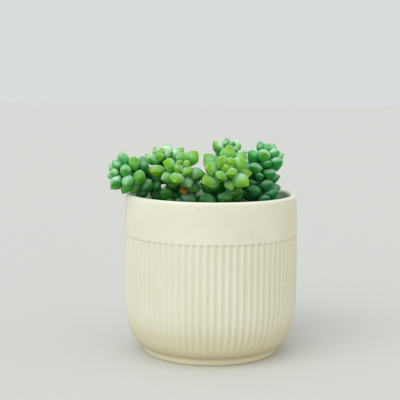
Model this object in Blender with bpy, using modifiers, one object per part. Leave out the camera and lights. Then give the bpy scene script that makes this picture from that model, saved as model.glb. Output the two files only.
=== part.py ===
"""A burro's tail succulent growing in a small fluted ceramic pot.

Units are metres, +Z is up and -Y is the front. The origin is the middle of the pot's foot, on
the surface that it stands on. The pot holds a bed of potting mix, and eight shoots are rooted
in the mix. A stem and the leaves that grow out of it as one piece are one solid, and the
fully grown leaves round each shoot's crown are solids of their own.
"""

import math
import random
from typing import NamedTuple

import bmesh
import bpy
from mathutils import Matrix, Vector
from mathutils.bvhtree import BVHTree
from mathutils.geometry import interpolate_bezier

MM = 0.001
GAP = 0.3 * MM  # kept between pieces that rest on each other

# Pot: a straight collar over a fluted wall, a rounded bowl and a low foot.
POT_RADIUS = 55 * MM
POT_HEIGHT = 101 * MM
RIM_RADIUS = 54.2 * MM
WALL = 4 * MM
TAPER_START = 66 * MM  # the wall draws in a little from here up to the rim
BOWL_TOP = 36.9 * MM  # the wall turns in from here down to the crease
CREASE_RADIUS = 43.8 * MM
CREASE_HEIGHT = 5 * MM
BOWL_POWER = 1.9  # 2 would make the bowl an ellipse
FOOT_NECK = 42.2 * MM
FOOT_NECK_DROP = 0.7 * MM  # of the neck below the crease
FOOT_FLARE = 43 * MM
FOOT_FLARE_HEIGHT = 1.2 * MM
FOOT_RADIUS = 42.3 * MM
FLOOR_HEIGHT = 9 * MM
FLOOR_RADIUS = 43 * MM
FLOOR_CORNER = 13 * MM  # height at which the inside wall starts
BOWL_ROWS = 5
LIP_TURN = 45  # degrees from one point of the rounded rim to the next
SHARP_ANGLE = 40  # degrees between faces at which an edge of the pot shows
FLUTES = 77
FLUTE_TOP = 76.1 * MM  # the collar's lower edge
FLUTE_BOTTOM = 7 * MM
FLUTE_DEPTH = 0.9 * MM
FLUTE_SCALLOP = 1.5 * MM  # height of a flute's rounded top
FLUTE_RUN_OUT = 10 * MM  # height over which a flute dies out above its bottom

# Potting mix
SOIL_HEIGHT = 86 * MM
SOIL_CROWN = 1.5 * MM
SOIL_SHOULDER = 0.7  # share of the crown's height that is left half way out
SOIL_SIDES = 32
SOCKET_DEPTH = 8 * MM
SOCKET_SIDES = 10

# Stems
STEM_RADIUS = 2.0 * MM
TIP_RADIUS = 1.3 * MM
ROOTED = STEM_RADIUS / 3  # how far from its middle a leaf that is one with the stem starts
STEM_POINTS = 10
PATH_POINTS = 400

# Leaves, as shares of a leaf's own length
LEAF_WIDTH = 0.71
LEAF_THICKNESS = 0.70
LEAF_CURL = 0.06
BASE_GIRTH = 0.42  # of an even oval's, where the leaf starts
END_GIRTH = 1.34  # and at its blunt end
GIRTH_POWER = 0.95
LEAF_POINT = 0.1  # how far the very tip is drawn out
UPPER_FACE = 0.78  # of half the thickness
UNDER_FACE = 1.05
LEAF_SIDES = 8
LEAF_BELTS = 6

# How leaves follow each other down a shoot, counted from its tip
GOLDEN_ANGLE = 137.5
GROWN = 8  # a leaf this far down has its full size
PACED = 14  # a leaf this far down is a whole step from the one before
BUD_LENGTH = 0.36  # of a grown leaf
BUD_GIRTH = 1.25  # a bud leaf is plumper for its length, by this much
BUD_ANGLE = 12  # from the stem
BUD_STEP = 0.35 * MM
OPENING_POWER = 0.85  # under 1, the youngest leaves open fastest
GROWTH_POWER = 0.8  # under 1, the youngest leaves lengthen fastest
TURN_WANDER = 12  # degrees that a grown leaf may turn aside from its place in the spiral
LEAN_WANDER = 10  # degrees that it may stand higher or lower
SIZE_WANDER = 0.1  # share that it may be longer or shorter
BUD_LEAVES = 6  # the youngest leaves, which run into each other
SMALL_SIDES = 5  # of a leaf that is one piece with its stem
SMALL_BELTS = 4
LEAVES = 30  # modelled on each shoot
FIRST_LOOSE = 6  # the first leaf from the tip that is a piece of its own
ROOT_CLEARANCE = 0.4 * MM  # more room for a leaf whose upper face leans in to the stem
CROWDED_GIRTH = 0.94  # a crowded leaf stays slimmer, by this share at a time
CROWDED_LENGTH = 0.98
CROWDED_SHIFT = 0.15 * MM  # and moves out from its stem, by this much at a time
MOST_SHIFT = 0.3 * MM
LEAST_GIRTH = 0.6  # and a leaf that would be slimmer than this doesn't grow at all


class Shoot(NamedTuple):
    """One shoot: where it is rooted, where its tip is, which way the tip looks, and its leaves."""

    name: str
    root: tuple  # mm
    tip: tuple  # mm
    facing: tuple
    leaf: float  # length of a grown leaf, mm
    step: float  # along the stem from one grown leaf to the next, mm
    stand: float  # degrees from the stem at which a grown leaf stands
    opened: float  # the leaf, counted from the tip, that first stands out so far
    spin: float  # degrees, of the first leaf about the stem
    hand: int  # which way the leaves' spiral turns
    habit: int  # seeds the leaves' small departures from the rule
    loose: int  # how many of the grown leaves are pieces of their own


SHOOTS = (
    Shoot(
        "front_right", (4, -5), (9.9, -25.7, 119.0), (0.16, -0.94, 0.31),
        leaf=14.8, step=1.36, stand=70, opened=8.6, spin=348, hand=-1, habit=2, loose=7,
    ),
    Shoot(
        "front_left", (-20, 1), (-18.1, -20.4, 119.4), (0.02, -0.94, 0.35),
        leaf=12.7, step=1.19, stand=88, opened=12.4, spin=281, hand=-1, habit=9, loose=7,
    ),
    Shoot(
        "right", (32, 0), (36.3, -1.8, 127.4), (0.55, -0.19, 0.81),
        leaf=12.1, step=1.12, stand=79, opened=7.6, spin=132, hand=-1, habit=10, loose=7,
    ),
    Shoot(
        "left", (-27, 7), (-58.5, -14.3, 114.6), (-0.98, -0.18, 0.06),
        leaf=12.4, step=1.1, stand=77, opened=8.3, spin=197, hand=-1, habit=7, loose=7,
    ),
    Shoot(
        "upper_middle", (14, 1), (12.9, 15.7, 128.0), (0.31, -0.82, 0.48),
        leaf=11.9, step=1.47, stand=80, opened=10.5, spin=321, hand=1, habit=8, loose=6,
    ),
    Shoot(
        "upper_left", (-27, -1), (-31.1, -8.6, 124.5), (-0.35, -0.61, 0.71),
        leaf=12.8, step=1.46, stand=69, opened=7, spin=175, hand=-1, habit=8, loose=6,
    ),
    Shoot(
        "rear_left", (-16, 30), (-24, 38, 116), (-0.25, 0.6, 0.75),
        leaf=12, step=1.25, stand=80, opened=10, spin=0, hand=1, habit=5, loose=5,
    ),
    Shoot(
        "rear_right", (26, 26), (31, 35, 118), (0.3, 0.6, 0.75),
        leaf=12, step=1.25, stand=80, opened=10, spin=0, hand=1, habit=6, loose=5,
    ),
)

GLAZE = ("cream_glaze", (0.83, 0.80, 0.62), 0.35)
MIX = ("potting_mix", (0.07, 0.045, 0.03), 0.95)
STALK = ("green_stem", (0.24, 0.42, 0.20), 0.6)
LEAF = ("leaf_green", (0.22, 0.50, 0.20), 0.5)


def clear_scene():
    for obj in list(bpy.data.objects):
        bpy.data.objects.remove(obj, do_unlink=True)


def collection_named(name):
    collection = bpy.data.collections.new(name)
    bpy.context.scene.collection.children.link(collection)
    return collection


def material_named(name, colour, roughness):
    material = bpy.data.materials.get(name) or bpy.data.materials.new(name)
    material.use_nodes = True
    shader = material.node_tree.nodes["Principled BSDF"]
    shader.inputs["Base Color"].default_value = (*colour, 1)
    shader.inputs["Roughness"].default_value = roughness
    shader.inputs["Metallic"].default_value = 0
    return material


def object_from(bm, name, collection, finish=None):
    mesh = bpy.data.meshes.new(name)
    bm.to_mesh(mesh)
    bm.free()
    mesh.shade_smooth()
    if finish:
        mesh.materials.append(material_named(*finish))
    obj = bpy.data.objects.new(name, mesh)
    collection.objects.link(obj)
    return obj


def hide_helper(obj):
    obj.hide_render = True
    obj.display_type = "WIRE"


def apply_modifiers(obj):
    """Swaps the object's mesh for its evaluated one."""
    graph = bpy.context.evaluated_depsgraph_get()
    old = obj.data
    obj.data = bpy.data.meshes.new_from_object(obj.evaluated_get(graph))
    obj.modifiers.clear()
    bpy.data.meshes.remove(old)


def turned(name, profile, sides, collection, finish):
    """A solid turned about Z from (radius, height) points, which start and end on the axis."""
    bm = bmesh.new()
    row = [bm.verts.new((radius, 0, height)) for radius, height in profile]
    for first, second in zip(row, row[1:]):
        bm.edges.new((first, second))
    obj = object_from(bm, name, collection, finish)
    screw = obj.modifiers.new("turn", "SCREW")
    screw.steps = sides
    screw.render_steps = sides
    screw.use_merge_vertices = True
    screw.merge_threshold = 0.00001
    apply_modifiers(obj)
    return obj


def outer_radius(height):
    """The wall's outer face, before its flutes."""
    if height > TAPER_START:
        rise = (height - TAPER_START) / (POT_HEIGHT - TAPER_START)
        return POT_RADIUS - (POT_RADIUS - RIM_RADIUS) * rise**2
    drop = max(0, (BOWL_TOP - height) / (BOWL_TOP - CREASE_HEIGHT))
    swell = (1 - drop**BOWL_POWER) ** (1 / BOWL_POWER)
    return CREASE_RADIUS + (POT_RADIUS - CREASE_RADIUS) * swell


def inner_radius(height):
    return outer_radius(height) - WALL


def bowl_heights(rows):
    """Heights down the bowl to the end of its flutes, closer together where it turns in faster."""
    fall = BOWL_TOP - FLUTE_BOTTOM
    return [BOWL_TOP - fall * math.sin(math.radians(90 * k / rows)) for k in range(rows + 1)]


def flute_depth(height):
    """Nothing at the collar, full depth just under it, and dying out towards the crease."""
    if height >= FLUTE_TOP or height <= FLUTE_BOTTOM:
        return 0
    return FLUTE_DEPTH * min(1, (height - FLUTE_BOTTOM) / FLUTE_RUN_OUT)


def pot_profile():
    lip = WALL / 2
    inner = [(0, FLOOR_HEIGHT), (FLOOR_RADIUS, FLOOR_HEIGHT)]
    inner += [(inner_radius(h), h) for h in (FLOOR_CORNER, BOWL_TOP, TAPER_START, SOIL_HEIGHT)]
    turns = [math.radians(turn) for turn in range(0, 181, LIP_TURN)]
    middle = RIM_RADIUS - lip
    rim = [(middle - lip * math.cos(t), POT_HEIGHT - lip + lip * math.sin(t)) for t in turns]
    collar = [FLUTE_TOP, FLUTE_TOP - FLUTE_SCALLOP]
    outer = [(outer_radius(h), h) for h in collar + bowl_heights(BOWL_ROWS)]
    foot = [
        (CREASE_RADIUS, CREASE_HEIGHT),
        (FOOT_NECK, CREASE_HEIGHT - FOOT_NECK_DROP),
        (FOOT_FLARE, FOOT_FLARE_HEIGHT),
        (FOOT_RADIUS, 0),
        (0, 0),
    ]
    return inner + rim + outer + foot


def cut_flutes(obj):
    """Splits each side of the wall in two and draws the new points in, so every side holds a groove."""
    bm = bmesh.new()
    bm.from_mesh(obj.data)

    def on_wall(vert):
        out = math.hypot(vert.co.x, vert.co.y)
        near = FLUTE_BOTTOM - 0.1 * MM < vert.co.z < FLUTE_TOP + 0.1 * MM
        return near and out > outer_radius(vert.co.z) - WALL / 2

    level = [
        edge
        for edge in bm.edges
        if abs(edge.verts[0].co.z - edge.verts[1].co.z) < GAP / 10
        and on_wall(edge.verts[0])
        and on_wall(edge.verts[1])
    ]
    split = bmesh.ops.subdivide_edges(bm, edges=level, cuts=1)
    for vert in {item for item in split["geom_inner"] if isinstance(item, bmesh.types.BMVert)}:
        height = vert.co.z
        radius = outer_radius(height) - flute_depth(height)
        vert.co.xy = vert.co.xy.normalized() * radius
    bm.to_mesh(obj.data)
    bm.free()


def make_pot(collection):
    pot = turned("pot", pot_profile(), FLUTES, collection, GLAZE)
    cut_flutes(pot)
    pot.data.set_sharp_from_angle(angle=math.radians(SHARP_ANGLE))
    return pot


def make_soil(collection, helpers):
    """The mix fills the pot and is holed where each stem goes in."""
    side = [SOIL_HEIGHT, TAPER_START, BOWL_TOP, FLOOR_CORNER]
    profile = [(0, SOIL_HEIGHT + SOIL_CROWN)]
    profile += [(POT_RADIUS / 2, SOIL_HEIGHT + SOIL_CROWN * SOIL_SHOULDER)]
    profile += [(inner_radius(h) - GAP, h) for h in side]
    profile += [(FLOOR_RADIUS - GAP, FLOOR_HEIGHT + GAP), (0, FLOOR_HEIGHT + GAP)]
    soil = turned("potting_mix", profile, SOIL_SIDES, collection, MIX)
    bm = bmesh.new()
    for shoot in SHOOTS:
        x, y = (value * MM for value in shoot.root)
        bmesh.ops.create_cone(
            bm,
            cap_ends=True,
            segments=SOCKET_SIDES,
            radius1=STEM_RADIUS + 2 * GAP,
            radius2=STEM_RADIUS + 2 * GAP,
            depth=2 * SOCKET_DEPTH,
            matrix=Matrix.Translation((x, y, SOIL_HEIGHT)),
        )
    sockets = object_from(bm, "sockets", helpers)
    hide_helper(sockets)
    cut = soil.modifiers.new("sockets", "BOOLEAN")
    cut.operation = "DIFFERENCE"
    cut.object = sockets
    return soil


def stem_path(shoot, points):
    """Points from the soil to the tip: straight up at first, and looking its own way at the end."""
    root = Vector((*shoot.root, SOIL_HEIGHT / MM)) * MM
    tip = Vector(shoot.tip) * MM
    reach = (tip - root).length / 3
    lifted = root + Vector((0, 0, reach))
    behind = tip - Vector(shoot.facing).normalized() * reach
    return interpolate_bezier(root, lifted, behind, tip, points)


def make_stem(shoot, collection):
    """A tapering tube from the bottom of its socket to the shoot's tip, as a closed mesh."""
    path = stem_path(shoot, STEM_POINTS)
    path.insert(0, Vector((path[0].x, path[0].y, SOIL_HEIGHT - SOCKET_DEPTH + GAP)))
    curve = bpy.data.curves.new(shoot.name, "CURVE")
    curve.dimensions = "3D"
    curve.bevel_depth = STEM_RADIUS
    curve.bevel_resolution = 2
    curve.use_fill_caps = True
    spline = curve.splines.new("POLY")
    spline.points.add(len(path) - 1)
    for index, (point, place) in enumerate(zip(spline.points, path)):
        share = index / (len(path) - 1)
        point.co = (*place, 1)
        point.radius = 1 + (TIP_RADIUS / STEM_RADIUS - 1) * share
    tube = bpy.data.objects.new("tube", curve)
    collection.objects.link(tube)
    graph = bpy.context.evaluated_depsgraph_get()
    mesh = bpy.data.meshes.new_from_object(tube.evaluated_get(graph))
    bpy.data.objects.remove(tube)
    bm = bmesh.new()
    bm.from_mesh(mesh)
    bmesh.ops.remove_doubles(bm, verts=bm.verts, dist=GAP / 30)
    bpy.data.meshes.remove(mesh)
    return object_from(bm, f"stem_{shoot.name}", collection, STALK)


def leaf_mesh(length, girth_share, sides, belts):
    """A plump leaf along +Z from the origin: narrow at its base, and flatter on its upper face, +X."""
    bm = bmesh.new()
    bmesh.ops.create_uvsphere(bm, u_segments=sides, v_segments=belts, radius=0.5)
    for vert in bm.verts:
        along = vert.co.z + 0.5
        girth = girth_share * (BASE_GIRTH + (END_GIRTH - BASE_GIRTH) * along**GIRTH_POWER)
        face = UPPER_FACE if vert.co.x > 0 else UNDER_FACE
        vert.co.x *= LEAF_THICKNESS * girth * face
        vert.co.y *= LEAF_WIDTH * girth
        vert.co.x += LEAF_CURL * along**2
        vert.co.z = along + (LEAF_POINT if along > 0.99 else 0)
    bmesh.ops.scale(bm, verts=bm.verts, vec=(length, length, length))
    return bm


class Seat(NamedTuple):
    """Where a leaf grows from, and how it is turned and sized."""

    point: Vector
    radius: float  # of the stem here
    out: Vector
    ahead: Vector
    angle: float
    length: float
    plump: float


def leaf_seats(shoot):
    """The leaves of a shoot from its tip down, each turned the golden angle from the one before."""
    path = stem_path(shoot, PATH_POINTS)[::-1]
    dice = random.Random(shoot.habit)
    walked = 0
    goal = 0
    step = 1
    seats = []
    for index in range(LEAVES):
        aside, lean, growth = (dice.uniform(-1, 1) for _ in range(3))
        share = min(1, index / GROWN)
        pace = min(1, index / PACED)
        spread = min(1, index / shoot.opened) ** OPENING_POWER
        goal += BUD_STEP + (shoot.step * MM - BUD_STEP) * pace
        while walked < goal and step < len(path) - 1:
            walked += (path[step] - path[step - 1]).length
            step += 1
        if step == len(path) - 1:
            break
        radius = TIP_RADIUS + (STEM_RADIUS - TIP_RADIUS) * step / len(path)
        ahead = (path[step - 1] - path[step]).normalized()
        turn = Vector((0, 0, 1)).rotation_difference(ahead)
        around = shoot.spin + shoot.hand * GOLDEN_ANGLE * index + TURN_WANDER * aside * share
        around = math.radians(around)
        out = turn @ Vector((math.cos(around), math.sin(around), 0))
        angle = BUD_ANGLE + (shoot.stand - BUD_ANGLE) * spread + LEAN_WANDER * lean * share
        length = shoot.leaf * MM * (BUD_LENGTH + (1 - BUD_LENGTH) * share**GROWTH_POWER)
        length *= 1 + SIZE_WANDER * growth * share
        angle = math.radians(angle)
        plump = BUD_GIRTH + (1 - BUD_GIRTH) * share
        seats.append(Seat(path[step - 1], radius, out, ahead, angle, length, plump))
    return seats


def is_loose(shoot, index):
    return FIRST_LOOSE <= index < FIRST_LOOSE + shoot.loose


def leaf_matrix(seat, distance):
    """Sets a leaf's base this far out from the stem's middle line."""
    along = seat.ahead * math.cos(seat.angle) + seat.out * math.sin(seat.angle)
    upper = seat.ahead * math.sin(seat.angle) - seat.out * math.cos(seat.angle)
    side = along.cross(upper)
    turn = Matrix((upper, side, along)).transposed().to_4x4()
    return Matrix.Translation(seat.point + seat.out * distance) @ turn


class Garden:
    """The solids already in place, for asking whether a new leaf has room."""

    def __init__(self):
        self.placed = []

    def add(self, bm, body):
        tree = BVHTree.FromBMesh(bm)
        points = [vert.co for vert in bm.verts]
        middle = sum(points, Vector()) / len(points)
        reach = max((point - middle).length for point in points)
        self.placed.append((tree, middle, reach, body))

    def has_room(self, bm, joined_to):
        """Whether this leaf is clear of everything but the bodies that it is joined to."""
        tree = BVHTree.FromBMesh(bm)
        points = [vert.co for vert in bm.verts]
        middle = sum(points, Vector()) / len(points)
        reach = max((point - middle).length for point in points)
        for other, place, size, body in self.placed:
            near = body not in joined_to and (place - middle).length < reach + size
            if near and tree.overlap(other):
                return False
        return True


def evaluated_bmesh(obj):
    graph = bpy.context.evaluated_depsgraph_get()
    bm = bmesh.new()
    bm.from_object(obj, graph)
    return bm


def placed_leaf(seat, crowding, distance, sides, belts, skin=0):
    """The leaf as a bmesh in the pot's frame, thickened by skin all round for a clearance test."""
    length = seat.length * CROWDED_LENGTH**crowding
    distance += min(CROWDED_SHIFT * crowding, MOST_SHIFT)
    bm = leaf_mesh(length, CROWDED_GIRTH**crowding * seat.plump, sides, belts)
    bm.normal_update()
    shifts = [vert.normal * skin for vert in bm.verts]
    for vert, shift in zip(bm.verts, shifts):
        vert.co += shift
    bmesh.ops.transform(bm, matrix=leaf_matrix(seat, distance), verts=bm.verts)
    return bm


def leaf_with_room(shoot, index, seat, garden):
    """The leaf as a bmesh, slim enough to have room, or None where it has none."""
    distance = ROOTED
    sides, belts = SMALL_SIDES, SMALL_BELTS
    body = f"bud_{shoot.name}" if index < BUD_LEAVES else "leaf"
    joined_to = {f"stem_{shoot.name}", f"bud_{shoot.name}" if index < BUD_LEAVES else ""}
    if is_loose(shoot, index):
        lean = math.cos(seat.angle) ** 2 / math.sin(seat.angle)
        distance = seat.radius + GAP + ROOT_CLEARANCE * lean
        sides, belts = LEAF_SIDES, LEAF_BELTS
        joined_to = set()
    crowding = 0
    while CROWDED_GIRTH**crowding > LEAST_GIRTH:
        trial = placed_leaf(seat, crowding, distance, sides, belts, GAP)
        room = garden.has_room(trial, joined_to)
        trial.free()
        if room:
            leaf = placed_leaf(seat, crowding, distance, sides, belts)
            garden.add(leaf, body)
            return leaf
        crowding += 1
    return None


def fill_pockets(obj):
    """Takes away the skin of any pocket shut in between the leaves, which makes it solid there."""
    apply_modifiers(obj)
    bm = bmesh.new()
    bm.from_mesh(obj.data)
    waiting = [min(bm.verts, key=lambda vert: vert.co.z)]
    outside = set(waiting)
    while waiting:
        vert = waiting.pop()
        for edge in vert.link_edges:
            other = edge.other_vert(vert)
            if other not in outside:
                outside.add(other)
                waiting.append(other)
    inside = [vert for vert in bm.verts if vert not in outside]
    bmesh.ops.delete(bm, geom=inside, context="VERTS")
    bm.to_mesh(obj.data)
    bm.free()


def join_to_stem(stem, leaves, helpers):
    """Makes the stem and the leaves grown on it one solid."""
    cluster = bmesh.new()
    for leaf in leaves:
        mesh = bpy.data.meshes.new("leaf")
        leaf.to_mesh(mesh)
        cluster.from_mesh(mesh)
        bpy.data.meshes.remove(mesh)
        leaf.free()
    grown = object_from(cluster, f"grown_on_{stem.name}", helpers)
    hide_helper(grown)
    union = stem.modifiers.new("grown", "BOOLEAN")
    union.operation = "UNION"
    union.object = grown
    union.use_self = True
    fill_pockets(stem)


def make_shoots(pot, soil, collection, helpers):
    """Grows the youngest leaves of all the shoots first, so that the older ones make way."""
    garden = Garden()
    stems = {shoot.name: make_stem(shoot, collection) for shoot in SHOOTS}
    for body in (pot, soil, *stems.values()):
        garden.add(evaluated_bmesh(body), body.name)
    seats = {shoot.name: leaf_seats(shoot) for shoot in SHOOTS}
    grown = {shoot.name: [] for shoot in SHOOTS}
    loose = {shoot.name: [] for shoot in SHOOTS}
    for index in range(LEAVES):
        for shoot in SHOOTS:
            if index >= len(seats[shoot.name]):
                continue
            leaf = leaf_with_room(shoot, index, seats[shoot.name][index], garden)
            if leaf and is_loose(shoot, index):
                number = len(loose[shoot.name]) + 1
                name = f"leaf_{shoot.name}_{number}"
                loose[shoot.name].append(object_from(leaf, name, collection, LEAF))
            elif leaf:
                grown[shoot.name].append(leaf)
    for shoot in SHOOTS:
        join_to_stem(stems[shoot.name], grown[shoot.name], helpers)


def build():
    clear_scene()
    plant = collection_named("potted_burros_tail")
    helpers = collection_named("helpers")
    pot = make_pot(plant)
    soil = make_soil(plant, helpers)
    make_shoots(pot, soil, plant, helpers)


build()
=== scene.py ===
"""A burro's tail succulent in a fluted ceramic pot, finished around its solid model.

Units are metres, +Z is up and -Y is the front. The origin is under the middle of the pot's foot.
"""

import math
import random
from typing import NamedTuple

import bmesh
import bpy
from mathutils import Matrix, Vector, noise
from mathutils.bvhtree import BVHTree
from mathutils.geometry import interpolate_bezier


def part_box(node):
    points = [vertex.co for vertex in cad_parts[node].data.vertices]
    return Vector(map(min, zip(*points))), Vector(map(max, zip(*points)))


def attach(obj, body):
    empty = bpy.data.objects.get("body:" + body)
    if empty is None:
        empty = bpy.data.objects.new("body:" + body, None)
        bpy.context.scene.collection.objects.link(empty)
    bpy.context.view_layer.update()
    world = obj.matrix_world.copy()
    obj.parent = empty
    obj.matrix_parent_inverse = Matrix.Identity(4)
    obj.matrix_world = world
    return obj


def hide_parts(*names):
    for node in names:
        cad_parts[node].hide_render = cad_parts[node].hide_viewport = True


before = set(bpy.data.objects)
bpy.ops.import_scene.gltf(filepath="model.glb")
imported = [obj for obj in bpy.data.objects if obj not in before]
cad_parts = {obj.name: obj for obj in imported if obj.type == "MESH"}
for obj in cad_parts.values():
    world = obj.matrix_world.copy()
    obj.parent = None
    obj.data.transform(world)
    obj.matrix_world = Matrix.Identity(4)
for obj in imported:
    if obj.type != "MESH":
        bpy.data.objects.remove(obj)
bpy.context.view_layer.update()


# --- Setting ----------------------------------------------------------------------------------
# A pale, plain floor and an even grey-white surround, with a broad soft light from the left and a
# weaker, warmer one from the right. The camera looks slightly down on the front of the pot.

MM = 0.001
FLOOR_SIZE = 8.0
FLOOR_COLOUR = (0.66, 0.66, 0.645)
FLOOR_BOUNCE = (0.56, 0.535, 0.455)  # the floor's colour in all light but the camera's own
SURROUND_COLOUR = (0.70, 0.72, 0.725)
CAMERA_PLACE = (-7.04 * MM, -614.57 * MM, 168.91 * MM)
CAMERA_PITCH = 6.74  # degrees below the horizon
CAMERA_ROLL = 0.44  # degrees
CAMERA_LENS = 87.4  # mm

scene = bpy.context.scene
scene.view_settings.view_transform = "Standard"


def add_object(name, data):
    obj = bpy.data.objects.new(name, data)
    scene.collection.objects.link(obj)
    return obj


def floor_material():
    """Pale and matt. It throws back less light than it shows, so the pot stays darker underneath."""
    material = bpy.data.materials.new("pale_floor")
    material.use_nodes = True
    tree = material.node_tree
    shader = tree.nodes["Principled BSDF"]
    seen = tree.nodes.new("ShaderNodeLightPath").outputs["Is Camera Ray"]
    colour = tree.nodes.new("ShaderNodeMix")
    colour.data_type = "RGBA"
    tree.links.new(seen, colour.inputs["Factor"])
    unseen_colour, seen_colour = [socket for socket in colour.inputs if socket.type == "RGBA"]
    unseen_colour.default_value = (*FLOOR_BOUNCE, 1)
    seen_colour.default_value = (*FLOOR_COLOUR, 1)
    chosen = next(socket for socket in colour.outputs if socket.type == "RGBA")
    tree.links.new(chosen, shader.inputs["Base Color"])
    shader.inputs["Roughness"].default_value = 0.8
    return material


def add_floor():
    bm = bmesh.new()
    bmesh.ops.create_grid(bm, x_segments=1, y_segments=1, size=FLOOR_SIZE)
    mesh = bpy.data.meshes.new("floor")
    bm.to_mesh(mesh)
    bm.free()
    mesh.materials.append(floor_material())
    floor = add_object("floor", mesh)


def add_soft_light(name, azimuth, elevation, spread, strength, colour):
    """An even light as wide as a big softbox. Azimuth 0 is in front and -90 on the left, in degrees."""
    light = bpy.data.lights.new(name, "SUN")
    light.angle = math.radians(spread)
    light.energy = strength
    light.color = colour
    obj = add_object(name, light)
    turn, lift = math.radians(azimuth), math.radians(elevation)
    source = Vector((math.sin(turn) * math.cos(lift), -math.cos(turn) * math.cos(lift), math.sin(lift)))
    obj.rotation_euler = source.to_track_quat("Z", "Y").to_euler()


def add_surround():
    world = bpy.data.worlds.new("surround")
    world.use_nodes = True
    background = world.node_tree.nodes["Background"]
    background.inputs["Color"].default_value = (*SURROUND_COLOUR, 1)
    background.inputs["Strength"].default_value = 1.0
    scene.world = world


def add_camera():
    camera = bpy.data.cameras.new("camera")
    camera.lens = CAMERA_LENS
    camera.clip_start = 0.01
    obj = add_object("camera", camera)
    obj.location = CAMERA_PLACE
    pitch = Matrix.Rotation(math.radians(90 - CAMERA_PITCH), 3, "X")
    roll = Matrix.Rotation(math.radians(CAMERA_ROLL), 3, "Z")
    obj.rotation_euler = (pitch @ roll).to_euler()
    scene.camera = obj


add_floor()
add_surround()
add_soft_light("key", azimuth=-38, elevation=40, spread=60, strength=1.36, colour=(1, 1, 0.985))
add_soft_light("fill", azimuth=70, elevation=20, spread=90, strength=0.45, colour=(1, 0.87, 0.57))
add_camera()


# --- Pot ----------------------------------------------------------------------------------------
# One slip-cast ceramic shell under a satin cream glaze: a plain collar over seventy-seven pressed
# flutes, a rounded bowl and a low foot, whose underside is left bare so that it can be fired.

POT_RADIUS = 55 * MM
POT_HEIGHT = 101 * MM
RIM_RADIUS = 54.2 * MM
RIM_STEPS = 10  # of faces round the lip
WALL = 4 * MM
TAPER_START = 66 * MM  # the wall draws in a little from here up to the rim
BOWL_TOP = 36.9 * MM  # the wall turns in from here down to the crease
BOWL_POWER = 1.9  # 2 would make the bowl an ellipse
BOWL_STEPS = 16
CREASE_RADIUS = 43.8 * MM
CREASE_HEIGHT = 5 * MM
FOOT_NECK = 42.2 * MM
FOOT_FLARE = 43 * MM
FOOT_RADIUS = 42.3 * MM
FLOOR_HEIGHT = 9 * MM
FLOOR_RADIUS = 43 * MM
FLOOR_BEND = 3 * MM  # how far inside the floor's radius its corner starts
FLOOR_CORNER = 4 * MM  # radius of the inside corner
FLUTES = 77
COLUMNS = 8  # of faces across each flute
FLUTE_TOP = 76.1 * MM
FLUTE_BOTTOM = 7 * MM
FLUTE_DEPTH = 0.9 * MM
FLUTE_SCALLOP = 2.0 * MM  # height of a flute's rounded top
FLUTE_LEDGE = 0.7 * MM  # height over which a flute's top sinks in
FLUTE_RUN_OUT = 10 * MM  # height over which a flute dies out above its bottom
LEDGE_ROWS = 11  # of points closely spaced down the flutes' tops
LEDGE_PITCH = 0.28 * MM
RIDGE_ROUNDING = 0.75  # under 1, flutes are broad and the ridges between them narrow
LIP_PALE = 1.2 * MM  # height over which the glaze is thin on the lip and a highlight is painted on it
TOUCH = 0.1 * MM  # points closer than this count as level

INNER_LEVELS = (22 * MM, 29 * MM, BOWL_TOP, 50 * MM, 66 * MM, 78 * MM, 90 * MM)
COLLAR_LEVELS = (97 * MM, 92 * MM, 87 * MM, 82 * MM, 78.5 * MM, 77 * MM)
WALL_LEVELS = (FLUTE_TOP - 6 * MM, 66 * MM, 58 * MM, 48 * MM)


def outer_radius(height):
    """The wall's outer face, before its flutes."""
    if height > TAPER_START:
        rise = (height - TAPER_START) / (POT_HEIGHT - TAPER_START)
        return POT_RADIUS - (POT_RADIUS - RIM_RADIUS) * rise**2
    drop = min(1, max(0, (BOWL_TOP - height) / (BOWL_TOP - CREASE_HEIGHT)))
    swell = (1 - drop**BOWL_POWER) ** (1 / BOWL_POWER)
    return CREASE_RADIUS + (POT_RADIUS - CREASE_RADIUS) * swell


def smooth_step(low, high, value):
    share = min(1, max(0, (value - low) / (high - low)))
    return share * share * (3 - 2 * share)


def flute_share(angle, height):
    """How deep a flute is here: 0 on the collar and the ridges, 1 down its middle."""
    across = (angle / (2 * math.pi) * FLUTES) % 1 * 2 - 1
    groove = (0.5 + 0.5 * math.cos(math.pi * across)) ** RIDGE_ROUNDING
    arch = FLUTE_SCALLOP * (1 - math.sqrt(max(0, 1 - across**2)))
    below_top = smooth_step(0, FLUTE_LEDGE, FLUTE_TOP - arch - height)
    fade = smooth_step(0, FLUTE_RUN_OUT, height - FLUTE_BOTTOM)
    return groove * below_top * fade


def arc(centre_radius, centre_height, radius, start, end, steps):
    """Points on an arc in the pot's profile, with angles in degrees from straight out."""
    angles = [math.radians(start + (end - start) * k / steps) for k in range(steps + 1)]
    return [
        (centre_radius + radius * math.cos(angle), centre_height + radius * math.sin(angle))
        for angle in angles
    ]


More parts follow.
